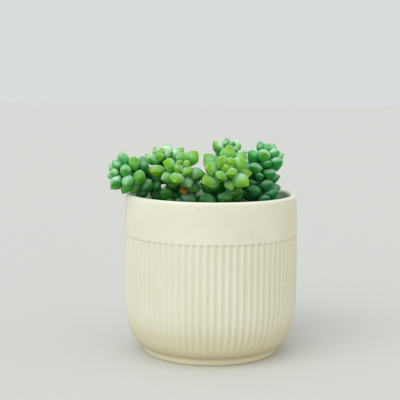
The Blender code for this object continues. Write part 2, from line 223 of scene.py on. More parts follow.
def pot_outline():
    """From the middle of the inside floor, over the rim and down to the middle of the foot."""
    corner = FLOOR_RADIUS - FLOOR_BEND
    inner = [(0, FLOOR_HEIGHT), (corner, FLOOR_HEIGHT)]
    inner += arc(corner, FLOOR_HEIGHT + FLOOR_CORNER, FLOOR_CORNER, -60, -10, 3)
    inner += [(outer_radius(height) - WALL, height) for height in INNER_LEVELS]
    lip = WALL / 2
    rim = arc(RIM_RADIUS - lip, POT_HEIGHT - lip, lip, 180, 0, RIM_STEPS)
    ledge = [FLUTE_TOP - LEDGE_PITCH * (k - 1) for k in range(LEDGE_ROWS)]
    fall = BOWL_TOP - CREASE_HEIGHT
    turns = [math.radians(90 * k / BOWL_STEPS) for k in range(BOWL_STEPS + 1)]
    bowl = [BOWL_TOP - fall * math.sin(turn) for turn in turns]
    levels = [*COLLAR_LEVELS, *ledge, *WALL_LEVELS, *bowl]
    outer = [(outer_radius(height), height) for height in levels]
    crease = [(FOOT_NECK + 0.6 * MM, CREASE_HEIGHT - 0.4 * MM), (FOOT_NECK, CREASE_HEIGHT - 1 * MM)]
    foot = [(FOOT_NECK + 0.3 * MM, 3 * MM), (FOOT_FLARE, 1.6 * MM), (FOOT_FLARE, 1 * MM)]
    foot += [(FOOT_RADIUS + 0.4 * MM, 0.3 * MM)]
    under = [(FOOT_RADIUS, 0), (FOOT_RADIUS - 2 * MM, 0), (FOOT_RADIUS / 2, 0), (0, 0)]
    return inner + rim + outer + crease + foot + under


def spin_outline(bm, outline, steps):
    """Turns an outline of (radius, height) points once round Z."""
    row = [bm.verts.new((radius, 0, height)) for radius, height in outline]
    edges = [bm.edges.new(pair) for pair in zip(row, row[1:])]
    bmesh.ops.spin(
        bm,
        geom=row + edges,
        cent=(0, 0, 0),
        axis=(0, 0, 1),
        angle=2 * math.pi,
        steps=steps,
        use_merge=True,
    )
    bmesh.ops.remove_doubles(bm, verts=bm.verts, dist=MM / 100)
    bmesh.ops.recalc_face_normals(bm, faces=bm.faces)


def finished_piece(bm, name, material, material_slot, *stands_for):
    """Makes the bmesh a smooth piece of the object, which rides with it."""
    mesh = bpy.data.meshes.new(name)
    bm.to_mesh(mesh)
    bm.free()
    mesh.shade_smooth()
    mesh.materials.append(material)
    piece = add_object(name, mesh)
    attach(piece, "root")
    if stands_for:
        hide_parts(*stands_for)
    return piece


class Builder:
    """A short way to place and join the nodes of a material or a node group."""

    def __init__(self, tree):
        self.tree = tree

    def node(self, kind, **settings):
        node = self.tree.nodes.new(kind)
        for key, value in settings.items():
            setattr(node, key, value)
        return node

    def put(self, value, socket):
        """Joins an output to an input, or sets the input's own value."""
        if isinstance(value, bpy.types.NodeSocket):
            self.tree.links.new(value, socket)
        else:
            socket.default_value = value

    def noise(self, vector, scale, detail=2.0, roughness=0.5):
        node = self.node("ShaderNodeTexNoise")
        self.put(vector, node.inputs["Vector"])
        self.put(scale, node.inputs["Scale"])
        self.put(detail, node.inputs["Detail"])
        self.put(roughness, node.inputs["Roughness"])
        return node.outputs["Fac"]

    def spread(self, value, low, high, start=0.0, end=1.0):
        """Maps low..high to start..end and holds it there outside them."""
        node = self.node("ShaderNodeMapRange", interpolation_type="SMOOTHSTEP")
        self.put(value, node.inputs["Value"])
        self.put(low, node.inputs["From Min"])
        self.put(high, node.inputs["From Max"])
        self.put(start, node.inputs["To Min"])
        self.put(end, node.inputs["To Max"])
        return node.outputs["Result"]

    def math(self, operation, first, second=0.0):
        node = self.node("ShaderNodeMath", operation=operation)
        self.put(first, node.inputs[0])
        self.put(second, node.inputs[1])
        return node.outputs[0]

    def mix(self, share, first, second, blend="MIX"):
        node = self.node("ShaderNodeMix", data_type="RGBA", blend_type=blend)
        self.put(share, node.inputs["Factor"])
        colour_a, colour_b = [socket for socket in node.inputs if socket.type == "RGBA"]
        self.put(first, colour_a)
        self.put(second, colour_b)
        return next(socket for socket in node.outputs if socket.type == "RGBA")

    def attribute(self, name):
        return self.node("ShaderNodeAttribute", attribute_name=name)

    def bump(self, height, distance, strength):
        node = self.node("ShaderNodeBump")
        self.put(strength, node.inputs["Strength"])
        self.put(distance, node.inputs["Distance"])
        self.put(height, node.inputs["Height"])
        return node.outputs["Normal"]


def new_material(name):
    """A material with its builder, its shader and the point being shaded."""
    material = bpy.data.materials.new(name)
    material.use_nodes = True
    builder = Builder(material.node_tree)
    shader = material.node_tree.nodes["Principled BSDF"]
    point = builder.node("ShaderNodeTexCoord").outputs["Object"]
    return material, builder, shader, point


CREAM_THICK = (0.78, 0.775, 0.635, 1)
CREAM_THIN = (0.82, 0.82, 0.69, 1)
CREAM_MOTTLE = (0.75, 0.74, 0.59, 1)
CREAM_POOLED = (0.72, 0.705, 0.55, 1)
CREAM_PAINTED_SHADE_LOW = (0.66, 0.61, 0.40, 1)  # painted shade: the glaze made darker and warmer low on the bowl
CREAM_THIN_LIP_HIGHLIGHT = (0.90, 0.895, 0.81, 1)
# painted light for the inside wall
LINING_PAINTED_LIGHT = (0.94, 0.94, 0.88, 1)
PIT_BROWN = (0.48, 0.42, 0.28, 1)
CLAY_DARK = (0.62, 0.55, 0.42, 1)
CLAY_LIGHT = (0.74, 0.68, 0.56, 1)
LOW_SHADE_TOP = 30 * MM  # the painted shade deepens from here down
LOW_SHADE_BOTTOM = 6 * MM


def glaze_material():
    """Satin cream glaze: thin and pale on edges with a painted highlight on the lip, deeper in the
    flutes, with painted shade low on the bowl and painted light on the lining.
    """
    material, b, shader, point = new_material("cream_glaze")
    groove = b.attribute("groove").outputs["Fac"]
    edge = b.attribute("edge").outputs["Fac"]
    bare = b.attribute("bare").outputs["Fac"]
    lining = b.attribute("lining").outputs["Fac"]
    height = b.node("ShaderNodeSeparateXYZ")
    b.put(point, height.inputs[0])
    cloud = b.noise(point, 28, 3)
    mottle = b.noise(point, 260, 3, 0.6)
    grain = b.noise(point, 2600, 2)
    glaze = b.mix(b.spread(cloud, 0.35, 0.65), CREAM_THICK, CREAM_THIN)
    glaze = b.mix(b.spread(mottle, 0.5, 0.75, 0, 0.25), glaze, CREAM_MOTTLE)
    glaze = b.mix(b.math("MULTIPLY", groove, 0.5), glaze, CREAM_POOLED)
    # painted shade: the glaze is made darker and warmer towards the foot, where the floor shades the
    # bowl
    glaze = b.mix(b.spread(height.outputs["Z"], LOW_SHADE_TOP, LOW_SHADE_BOTTOM, 0, 0.75), glaze, CREAM_PAINTED_SHADE_LOW)
    # thin glaze on the lip, with a painted highlight where the lip faces up
    glaze = b.mix(b.math("MULTIPLY", edge, 0.8), glaze, CREAM_THIN_LIP_HIGHLIGHT)
    pits = b.spread(b.noise(point, 900, 1), 0.735, 0.775)
    glaze = b.mix(b.math("MULTIPLY", pits, 0.5), glaze, PIT_BROWN)
    # painted light: the lining is paler than the outer glaze, so the inside wall looks lit though the
    # plants shade it
    glaze = b.mix(lining, glaze, LINING_PAINTED_LIGHT)
    clay = b.mix(b.spread(grain, 0.35, 0.65), CLAY_DARK, CLAY_LIGHT)
    b.put(b.mix(bare, glaze, clay), shader.inputs["Base Color"])
    glazed_gloss = b.spread(mottle, 0.3, 0.7, 0.34, 0.46)
    gloss = b.math("MAXIMUM", glazed_gloss, b.math("MULTIPLY", bare, 0.9))
    b.put(gloss, shader.inputs["Roughness"])
    shader.inputs["Coat Weight"].default_value = 0.15
    shader.inputs["Coat Roughness"].default_value = 0.25
    relief = b.math("ADD", b.math("MULTIPLY", mottle, 0.8), b.math("MULTIPLY", grain, 0.12))
    b.put(b.bump(relief, 0.12 * MM, 0.5), shader.inputs["Normal"])
    return material


def build_pot():
    """Spins the shell, presses its flutes in and marks where its glaze pools or is missing, the lip
    where it thins under a painted highlight, and the lining, which is painted lighter.
    """
    bm = bmesh.new()
    spin_outline(bm, pot_outline(), FLUTES * COLUMNS)
    groove = bm.verts.layers.float.new("groove")
    edge = bm.verts.layers.float.new("edge")
    bare = bm.verts.layers.float.new("bare")
    lining = bm.verts.layers.float.new("lining")
    for vert in bm.verts:
        x, y, height = vert.co
        radius = math.hypot(x, y)
        vert[edge] = smooth_step(POT_HEIGHT - LIP_PALE, POT_HEIGHT, height)
        vert[bare] = 1 if height < TOUCH and radius < FOOT_RADIUS + TOUCH else 0
        outside = radius > outer_radius(height) - WALL / 2
        vert[lining] = 0 if outside or height < FLOOR_HEIGHT - TOUCH else 1
        if outside and FLUTE_BOTTOM < height < FLUTE_TOP:
            share = flute_share(math.atan2(y, x), height)
            vert[groove] = share
            vert.co.xy *= (radius - FLUTE_DEPTH * share) / radius
    finished_piece(bm, "glazed_pot", glaze_material(), "glaze", "pot")


build_pot()


# --- Potting mix --------------------------------------------------------------------------------
# A dark, open mix of composted bark and peat with grains of white perlite, tipped in loose and
# firmed by hand, so its top is uneven and a little higher in the middle.

SOIL_HEIGHT = 86 * MM
SOIL_CROWN = 1.5 * MM
SOIL_SIDES = 120
SOIL_RINGS = 26
SOIL_LEVELS = (85 * MM, 66 * MM, BOWL_TOP, 25 * MM, 18 * MM)  # of points down its side
SOIL_GAP = 0.3 * MM  # kept from the pot's wall
SOIL_LUMPS = 0.66 * MM  # how high they stand
SMALL_LUMPS = 160  # to the metre
SMALL_OCTAVES = (1.0, 2.0, 3)  # how fast they fade, how much finer each is, and how many there are
BROAD_LUMPS = 60  # to the metre
BROAD_SLICE = 9  # takes the broad lumps from another place in the noise

PEAT_DARK = (0.018, 0.012, 0.008, 1)
PEAT_LIGHT = (0.085, 0.052, 0.03, 1)
FIBRE_BROWN = (0.16, 0.105, 0.06, 1)


def soil_top(x, y):
    """Height of the mix's surface."""
    out = min(1, math.hypot(x, y) / (POT_RADIUS - WALL))
    small = noise.fractal(Vector((x, y, 0)) * SMALL_LUMPS, *SMALL_OCTAVES)
    broad = noise.noise(Vector((x, y, BROAD_SLICE)) * BROAD_LUMPS)
    return SOIL_HEIGHT + SOIL_CROWN * (1 - out**2) + SOIL_LUMPS * (small + broad)


def mix_material():
    """Moist peat and bark: nearly black in the hollows, brown where it has dried."""
    material, b, shader, point = new_material("potting_mix_finish")
    clod = b.noise(point, 420, 4, 0.65)
    fibre = b.noise(point, 1900, 3, 0.7)
    peat = b.mix(b.spread(clod, 0.35, 0.7), PEAT_DARK, PEAT_LIGHT)
    b.put(b.mix(b.spread(fibre, 0.55, 0.8), peat, FIBRE_BROWN), shader.inputs["Base Color"])
    b.put(b.spread(clod, 0.3, 0.7, 0.75, 0.95), shader.inputs["Roughness"])
    relief = b.math("ADD", clod, b.math("MULTIPLY", fibre, 0.5))
    b.put(b.bump(relief, 1.2 * MM, 0.9), shader.inputs["Normal"])
    return material


def build_mix():
    bm = bmesh.new()
    reach = POT_RADIUS - WALL - SOIL_GAP
    floor = FLOOR_HEIGHT + SOIL_GAP
    outline = [(reach * k / SOIL_RINGS, SOIL_HEIGHT) for k in range(SOIL_RINGS)]
    outline += [(outer_radius(height) - WALL - SOIL_GAP, height) for height in SOIL_LEVELS]
    outline += [(FLOOR_RADIUS - SOIL_GAP, FLOOR_HEIGHT + 2 * MM)]
    outline += [(FLOOR_RADIUS - FLOOR_BEND, floor), (0, floor)]
    spin_outline(bm, outline, SOIL_SIDES)
    for vert in bm.verts:
        if vert.co.z > SOIL_HEIGHT - TOUCH:
            vert.co.z = soil_top(vert.co.x, vert.co.y)
    finished_piece(bm, "mix_bed", mix_material(), "mix", "potting_mix")


BARK_CHIPS = 420
PERLITE_GRAINS = 90
GRAIN_SEED = 7
GRAIN_EDGE = 2.2 * MM  # no grain's middle lies closer than this to the wall
GRAIN_RISE = 0.2  # of its radius, that a grain's middle stands above the bed
GRAIN_RADIUS = (0.7, 1.5)  # mm
GRAIN_UNEVEN = (0.8, 1.15)  # of that radius, at each of its corners
GRAIN_PITCH = 0.5  # radians
GRAIN_ROLL = 0.4
PERLITE_WIDTH = (0.8, 1)  # of its length
PERLITE_HEIGHT = (0.7, 1)
CHIP_SHAPE = ((1.1, 2.2), (0.7, 1.1), (0.35, 0.6))  # length, width and height

BARK_DARK = (0.035, 0.02, 0.012, 1)
BARK_LIGHT = (0.20, 0.11, 0.055, 1)
BARK_STREAK = (0.02, 0.012, 0.008, 1)
PERLITE_GREY = (0.55, 0.53, 0.48, 1)
PERLITE_WHITE = (0.80, 0.78, 0.74, 1)


def grain_material():
    """Bark chips in browns and perlite in chalky white, told apart by an attribute."""
    material, b, shader, point = new_material("mix_grain_finish")
    white = b.attribute("white").outputs["Fac"]
    shade = b.attribute("shade").outputs["Fac"]
    streak = b.noise(point, 1500, 3, 0.6)
    bark = b.mix(shade, BARK_DARK, BARK_LIGHT)
    bark = b.mix(b.spread(streak, 0.4, 0.7, 0, 0.6), bark, BARK_STREAK)
    perlite = b.mix(b.spread(streak, 0.4, 0.7), PERLITE_GREY, PERLITE_WHITE)
    b.put(b.mix(white, bark, perlite), shader.inputs["Base Color"])
    shader.inputs["Roughness"].default_value = 0.9
    b.put(b.bump(streak, 0.6 * MM, 0.8), shader.inputs["Normal"])
    return material


def build_grains():
    """Strews chips and grains over the bed, as one piece."""
    dice = random.Random(GRAIN_SEED)
    bm = bmesh.new()
    white = bm.verts.layers.float.new("white")
    shade = bm.verts.layers.float.new("shade")
    for count in range(BARK_CHIPS + PERLITE_GRAINS):
        is_perlite = count >= BARK_CHIPS
        out = (POT_RADIUS - WALL - GRAIN_EDGE) * math.sqrt(dice.random())
        turn = dice.uniform(0, 2 * math.pi)
        x, y = out * math.cos(turn), out * math.sin(turn)
        size = dice.uniform(*GRAIN_RADIUS) * MM
        stretch = [1, dice.uniform(*PERLITE_WIDTH), dice.uniform(*PERLITE_HEIGHT)]
        if not is_perlite:
            stretch = [dice.uniform(*limits) for limits in CHIP_SHAPE]
        verts = bmesh.ops.create_icosphere(bm, subdivisions=1, radius=size)["verts"]
        for vert in verts:
            vert.co *= dice.uniform(*GRAIN_UNEVEN)
            vert[white] = 1 if is_perlite else 0
        tint = dice.random()
        for vert in verts:
            vert[shade] = tint
        pitch = Matrix.Rotation(dice.uniform(-GRAIN_PITCH, GRAIN_PITCH), 4, "X")
        roll = Matrix.Rotation(dice.uniform(-GRAIN_ROLL, GRAIN_ROLL), 4, "Y")
        heading = Matrix.Rotation(dice.uniform(0, 2 * math.pi), 4, "Z")
        place = Matrix.Translation((x, y, soil_top(x, y) + GRAIN_RISE * size))
        shape = place @ heading @ pitch @ roll @ Matrix.Diagonal((*stretch, 1))
        bmesh.ops.transform(bm, matrix=shape, verts=verts)
    piece = finished_piece(bm, "mix_grains", grain_material(), "mix")
    piece.data.shade_flat()


build_mix()
build_grains()


# --- Shoots -------------------------------------------------------------------------------------
# Each shoot is a green stem whose leaves follow each other in a spiral, a golden angle apart. At
# the tip they are small and closed over the bud, and down the stem they grow, open and crowd.


class Shoot(NamedTuple):
    """One shoot: where it is rooted, where its tip is, which way the tip looks, and its leaves."""

    name: str
    root: tuple  # mm
    tip: tuple  # mm
    facing: tuple
    leaf: float  # length of a grown leaf, mm
    step: float  # along the stem from one grown leaf to the next, mm
    stand: float  # degrees from the stem at which a grown leaf stands
    opened: float  # the leaf, counted from the tip, that first stands out so far
    spin: float  # degrees, of the first leaf about the stem
    hand: int  # which way the leaves' spiral turns
    habit: int  # seeds the leaves' small departures from the rule
    loose: int  # how many of the grown leaves are pieces of their own
    warmth: float  # 0 for blue-green leaves and 1 for yellow-green ones
    pale: float  # how thick the bloom on its leaves is, raised on the upper shoots partly as painted light from above


SHOOTS = (
    Shoot(
        "front_right", (4, -5), (9.9, -25.7, 119.0), (0.16, -0.94, 0.31),
        leaf=14.8, step=1.36, stand=70, opened=8.6,
        spin=348, hand=-1, habit=2, loose=7, warmth=0.8, pale=0.82,
    ),
    Shoot(
        "front_left", (-20, 1), (-18.1, -20.4, 119.4), (0.02, -0.94, 0.35),
        leaf=12.7, step=1.19, stand=88, opened=12.4,
        spin=281, hand=-1, habit=9, loose=7, warmth=0.62, pale=0.9,
    ),
    Shoot(
        "right", (32, 0), (36.3, -1.8, 127.4), (0.55, -0.19, 0.81),
        leaf=12.1, step=1.12, stand=79, opened=7.6,
        spin=132, hand=-1, habit=10, loose=7, warmth=0.15, pale=0.92,
    ),
    Shoot(
        "left", (-27, 7), (-58.5, -14.3, 114.6), (-0.98, -0.18, 0.06),
        leaf=12.4, step=1.1, stand=77, opened=8.3,
        spin=197, hand=-1, habit=7, loose=7, warmth=0.36, pale=0.92,
    ),
    Shoot(
        "upper_middle", (14, 1), (12.9, 15.7, 128.0), (0.31, -0.82, 0.48),
        leaf=11.9, step=1.47, stand=80, opened=10.5,
        spin=321, hand=1, habit=8, loose=6, warmth=0.35, pale=1.15,
    ),
    Shoot(
        "upper_left", (-27, -1), (-31.1, -8.6, 124.5), (-0.35, -0.61, 0.71),
        leaf=12.8, step=1.46, stand=69, opened=7,
        spin=175, hand=-1, habit=8, loose=6, warmth=0.55, pale=1.05,
    ),
    Shoot(
        "rear_left", (-16, 30), (-24, 38, 116), (-0.25, 0.6, 0.75),
        leaf=12, step=1.25, stand=80, opened=10,
        spin=0, hand=1, habit=5, loose=5, warmth=0.5, pale=0.8,
    ),
    Shoot(
        "rear_right", (26, 26), (31, 35, 118), (0.3, 0.6, 0.75),
        leaf=12, step=1.25, stand=80, opened=10,
        spin=0, hand=1, habit=6, loose=5, warmth=0.3, pale=0.8,
    ),
)


STEM_RADIUS = 2.0 * MM
TIP_RADIUS = 1.3 * MM
STEM_SIDES = 12
STEM_RINGS = 26
STEM_FOOT = 4 * MM  # how far the stem reaches down into the mix


def stem_path(shoot, points):
    """Points from the mix to the tip: straight up at first, and looking the shoot's way at the end."""
    root = Vector((*shoot.root, SOIL_HEIGHT / MM)) * MM
    tip = Vector(shoot.tip) * MM
    reach = (tip - root).length / 3
    lifted = root + Vector((0, 0, reach))
    behind = tip - Vector(shoot.facing).normalized() * reach
    return interpolate_bezier(root, lifted, behind, tip, points)


def add_stem(bm, shoot):
    """A tapering tube from just under the mix's surface to the bud."""
    path = stem_path(shoot, STEM_RINGS)
    path.insert(0, path[0] - Vector((0, 0, STEM_FOOT)))
    ring = bmesh.ops.create_circle(bm, cap_ends=True, segments=STEM_SIDES, radius=1)["verts"]
    made = list(ring)
    rings = [ring]
    for _ in path[1:]:
        edges = [edge for edge in bm.edges if all(vert in ring for vert in edge.verts)]
        extruded = bmesh.ops.extrude_edge_only(bm, edges=edges)["geom"]
        lifted = [item for item in extruded if isinstance(item, bmesh.types.BMVert)]
        rings.append(lifted)
        made += lifted
        ring = set(lifted)
    bmesh.ops.contextual_create(bm, geom=list(rings[-1]))
    for level, (place, verts) in enumerate(zip(path, rings)):
        ahead = (path[min(level + 1, len(path) - 1)] - path[max(level - 1, 0)]).normalized()
        turn = Vector((0, 0, 1)).rotation_difference(ahead)
        share = level / (len(path) - 1)
        radius = STEM_RADIUS + (TIP_RADIUS - STEM_RADIUS) * share
        for vert in verts:
            flat = Vector((vert.co.x, vert.co.y, 0)).normalized()
            vert.co = place + turn @ (flat * radius)
    faces = list({face for vert in made for face in vert.link_faces})
    bmesh.ops.recalc_face_normals(bm, faces=faces)
    return made


GOLDEN_ANGLE = 137.5
PATH_POINTS = 400
LEAVES = 36  # at most, on a shoot
GROWN = 8  # a leaf this far down has its full size
PACED = 14  # a leaf this far down is a whole step from the one before
BUD_LENGTH = 0.36  # of a grown leaf
BUD_GIRTH = 1.25  # a bud leaf is plumper for its length, by this much
BUD_ANGLE = 12  # degrees from the stem
BUD_STEP = 0.35 * MM
OPENING_POWER = 0.85  # under 1, the youngest leaves open fastest
GROWTH_POWER = 0.8  # under 1, the youngest leaves lengthen fastest
TURN_WANDER = 12  # degrees that a grown leaf may turn aside from its place in the spiral
LEAN_WANDER = 10  # degrees that it may stand higher or lower
SIZE_WANDER = 0.1  # share that it may be longer or shorter


class Seat(NamedTuple):
    """Where a leaf grows from, and how it is turned and sized."""

    point: Vector
    radius: float  # of the stem here
    out: Vector
    ahead: Vector
    angle: float
    length: float
    plump: float


def leaf_seats(shoot):
    """The leaves of a shoot from its tip down, each turned the golden angle from the one before."""
    path = stem_path(shoot, PATH_POINTS)[::-1]
    dice = random.Random(shoot.habit)
    walked = 0
    goal = 0
    step = 1
    seats = []
    for index in range(LEAVES):
        aside, lean, growth = (dice.uniform(-1, 1) for _ in range(3))
        share = min(1, index / GROWN)
        pace = min(1, index / PACED)
        spread = min(1, index / shoot.opened) ** OPENING_POWER
        goal += BUD_STEP + (shoot.step * MM - BUD_STEP) * pace
        while walked < goal and step < len(path) - 1:
            walked += (path[step] - path[step - 1]).length
            step += 1
        if step == len(path) - 1:
            break
        radius = TIP_RADIUS + (STEM_RADIUS - TIP_RADIUS) * step / len(path)
        ahead = (path[step - 1] - path[step]).normalized()
        turn = Vector((0, 0, 1)).rotation_difference(ahead)
        around = shoot.spin + shoot.hand * GOLDEN_ANGLE * index + TURN_WANDER * aside * share
        around = math.radians(around)
        out = turn @ Vector((math.cos(around), math.sin(around), 0))
        angle = BUD_ANGLE + (shoot.stand - BUD_ANGLE) * spread + LEAN_WANDER * lean * share
        length = shoot.leaf * MM * (BUD_LENGTH + (1 - BUD_LENGTH) * share**GROWTH_POWER)
        length *= 1 + SIZE_WANDER * growth * share
        angle = math.radians(angle)
        plump = BUD_GIRTH + (1 - BUD_GIRTH) * share
        seats.append(Seat(path[step - 1], radius, out, ahead, angle, length, plump))
    return seats


LEAF_SIDES = 8
LEAF_BELTS = 6
LEAF_WIDTH = 0.71  # of its length, as are the next three
LEAF_THICKNESS = 0.70
LEAF_CURL = 0.06  # how far the tip leans to the leaf's upper side
LEAF_POINT = 0.10  # how far the tip is drawn out
BASE_GIRTH = 0.42  # of an even oval's, where the leaf starts
END_GIRTH = 1.34  # and at its blunt end
GIRTH_POWER = 0.95  # under 1, it widens fastest where it starts
UPPER_FACE = 0.78  # of half the thickness
UNDER_FACE = 1.05
FLAT_FLANK = 0.1  # how much flatter the faces are beside the margins
CAGE_SWELL = 1.15  # the smoothing draws a cage in by this much
POINT_START = 0.9  # beyond this share of the length lie the last belt of points and the tip
TIP_START = 0.99  # and beyond this share only the tip
POINT_TAPER = 0.24  # how much slimmer the last belt is
POINT_CREASE = 0.6
MARGIN_START = 0.2  # share of the length at which the margins begin
MARGIN_CREASE = 0.28
LEVEL = 0.001  # shares of the length closer than this count as the same
CROWDED_GIRTH = 0.94  # what each step of crowding leaves of a leaf's girth
CROWDED_LENGTH = 0.98  # and of its length
CROWDED_SHIFT = 0.15 * MM  # how far out each step moves it
MOST_SHIFT = 0.3 * MM


def leaf_matrix(seat, distance):
    """Sets a leaf's base this far out from the stem's middle line."""
    along = seat.ahead * math.cos(seat.angle) + seat.out * math.sin(seat.angle)
    upper = seat.ahead * math.sin(seat.angle) - seat.out * math.cos(seat.angle)
    side = along.cross(upper)
    turn = Matrix((upper, side, along)).transposed().to_4x4()
    return Matrix.Translation(seat.point + seat.out * distance) @ turn


def crease_margins(bm, verts, crease):
    """Firms up the two margins, which run along a leaf's sides and meet at its point."""
    for vert in verts:
        for edge in vert.link_edges:
            low, high = sorted((end.co for end in edge.verts), key=lambda place: place.z)
            central = max(abs(low.x), abs(high.x)) < LEVEL
            lengthwise = high.z - low.z > LEVEL
            if central and lengthwise and low.z + 0.5 > MARGIN_START:
                edge[crease] = MARGIN_CREASE


def add_leaf(bm, seat, crowding, distance, swell=1.0, skin=0.0, marks=None):
    """Adds a leaf's cage to the bmesh, and returns its points."""
    length = seat.length * CROWDED_LENGTH**crowding
    share = CROWDED_GIRTH**crowding * swell * seat.plump
    distance += min(CROWDED_SHIFT * crowding, MOST_SHIFT)
    verts = bmesh.ops.create_uvsphere(
        bm, u_segments=LEAF_SIDES, v_segments=LEAF_BELTS, radius=0.5
    )["verts"]
    if marks:
        crease_margins(bm, verts, marks.crease)
    for vert in verts:
        x, y, z = vert.co
        along = z + 0.5
        girth = share * (BASE_GIRTH + (END_GIRTH - BASE_GIRTH) * along**GIRTH_POWER)
        if marks and POINT_START < along < TIP_START:
            girth *= 1 - POINT_TAPER
        face = UPPER_FACE if x > 0 else UNDER_FACE
        around = Vector((x, y, 0)).normalized()
        if marks:
            vert[marks.place] = (around.x, around.y, along)
            face *= 1 - FLAT_FLANK * 2 * abs(around.x * around.y)
        thickness = LEAF_THICKNESS * girth * face + 2 * skin / length
        width = LEAF_WIDTH * girth + 2 * skin / length
        vert.co = (x * thickness + LEAF_CURL * along**2, y * width, along)
        if along > TIP_START:
            vert.co.z += LEAF_POINT
        if marks and along > TIP_START:
            vert[marks.point] = POINT_CREASE
    bmesh.ops.scale(bm, verts=verts, vec=(length, length, length))
    bmesh.ops.transform(bm, matrix=leaf_matrix(seat, distance), verts=verts)
    return verts


BUD_LEAVES = 6  # the youngest leaves lie closed over each other
FIRST_LOOSE = 6
ROOTED = STEM_RADIUS / 3  # how far from its middle a leaf that is one with the stem starts
GAP = 0.3 * MM  # between a loose leaf and the stem
ROOT_CLEARANCE = 0.4 * MM  # added for a leaf that lies close along the stem
LEAST_GIRTH = 0.6  # a leaf that would have to be slimmer isn't grown
LEAF_SKIN = -0.4 * MM  # neighbouring leaves press into each other by up to twice this


def is_loose(shoot, index):
    """Whether the leaf is one of those that the solid model keeps apart from their stem."""
    return FIRST_LOOSE <= index < FIRST_LOOSE + shoot.loose


class Garden:
    """The shapes already in place, for asking whether a new leaf has room."""

    def __init__(self):
        self.placed = []

    def add(self, tree, middle, reach, body):
        self.placed.append((tree, middle, reach, body))

    def has_room(self, tree, middle, reach, joined_to):
        for other, place, size, body in self.placed:
            near = body not in joined_to and (place - middle).length < reach + size
            if near and tree.overlap(other):
                return False
        return True


def tree_of(bm):
    """The bmesh's tree, middle and reach."""
    points = [vert.co.copy() for vert in bm.verts]
    middle = sum(points, Vector()) / len(points)
    reach = max((point - middle).length for point in points)
    return BVHTree.FromBMesh(bm), middle, reach


class Leaf(NamedTuple):
    """A leaf with room to grow."""

    index: int
    seat: Seat
    crowding: int
    distance: float


def leaf_with_room(shoot, index, seat, garden):
    """Slims the leaf, step by step, until it clears its neighbours. Returns None if it never does."""
    distance = ROOTED
    body = "leaf"
    joined_to = {f"stem_{shoot.name}"}
    if index < BUD_LEAVES:
        body = f"bud_{shoot.name}"
        joined_to.add(body)
    if is_loose(shoot, index):
        lean = math.cos(seat.angle) ** 2 / math.sin(seat.angle)
        distance = seat.radius + GAP + ROOT_CLEARANCE * lean
        joined_to = set()
    crowding = 0
    while CROWDED_GIRTH**crowding > LEAST_GIRTH:
        trial = bmesh.new()
        add_leaf(trial, seat, crowding, distance, skin=LEAF_SKIN)
        found = tree_of(trial)
        trial.free()
        if garden.has_room(*found, joined_to):
            garden.add(*found, body)
            return Leaf(index, seat, crowding, distance)
        crowding += 1
    return None


def cad_tree(name):
    bm = bmesh.new()
    bm.from_mesh(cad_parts[name].data)
    found = tree_of(bm)
    bm.free()
    return found


def grow_leaves():
    """Grows the youngest leaves of all the shoots first, so that the older ones make way."""
    garden = Garden()
    for name in ("pot", "potting_mix"):
        garden.add(*cad_tree(name), name)
    for shoot in SHOOTS:
        bm = bmesh.new()
        add_stem(bm, shoot)
        garden.add(*tree_of(bm), f"stem_{shoot.name}")
        bm.free()
    seats = {shoot.name: leaf_seats(shoot) for shoot in SHOOTS}
    grown = {shoot.name: [] for shoot in SHOOTS}
    for index in range(LEAVES):
        for shoot in SHOOTS:
            if index >= len(seats[shoot.name]):
                continue
            leaf = leaf_with_room(shoot, index, seats[shoot.name][index], garden)
            if leaf:
                grown[shoot.name].append(leaf)
    return grown


FLESH_COOL = ((0.002, 0.29, 0.085, 1), (0.012, 0.46, 0.15, 1))  # of the darkest and lightest leaves
FLESH_WARM = ((0.014, 0.40, 0.012, 1), (0.09, 0.56, 0.02, 1))
FLESH_YOUNG = (0.20, 0.56, 0.10, 1)
END_COOL = ((0.008, 0.26, 0.05, 1), (0.06, 0.42, 0.06, 1))  # the two colours of its patches
END_WARM = ((0.10, 0.42, 0.003, 1), (0.34, 0.50, 0.003, 1))
FLESH_OLD_PAINTED_SHADE = (0.001, 0.19, 0.06, 1)
HEEL_PAINTED_SHADE = (0.002, 0.23, 0.035, 1)
UNDERSIDE_PAINTED_SHADE = (0.1, 0.75, 0.25, 1)
# the bloom's pale colours, which also stand in as a painted highlight on the upward faces
BLOOM_THIN = (0.56, 0.93, 0.68, 1)
BLOOM_THICK = (0.80, 0.97, 0.86, 1)
MARGIN_SHEEN = (0.58, 0.90, 0.46, 1)
STRAW = ((0.36, 0.10, 0.01, 1), (0.62, 0.33, 0.05, 1))
TONE_SWING = 0.55  # how far a leaf's own tone moves its warmth


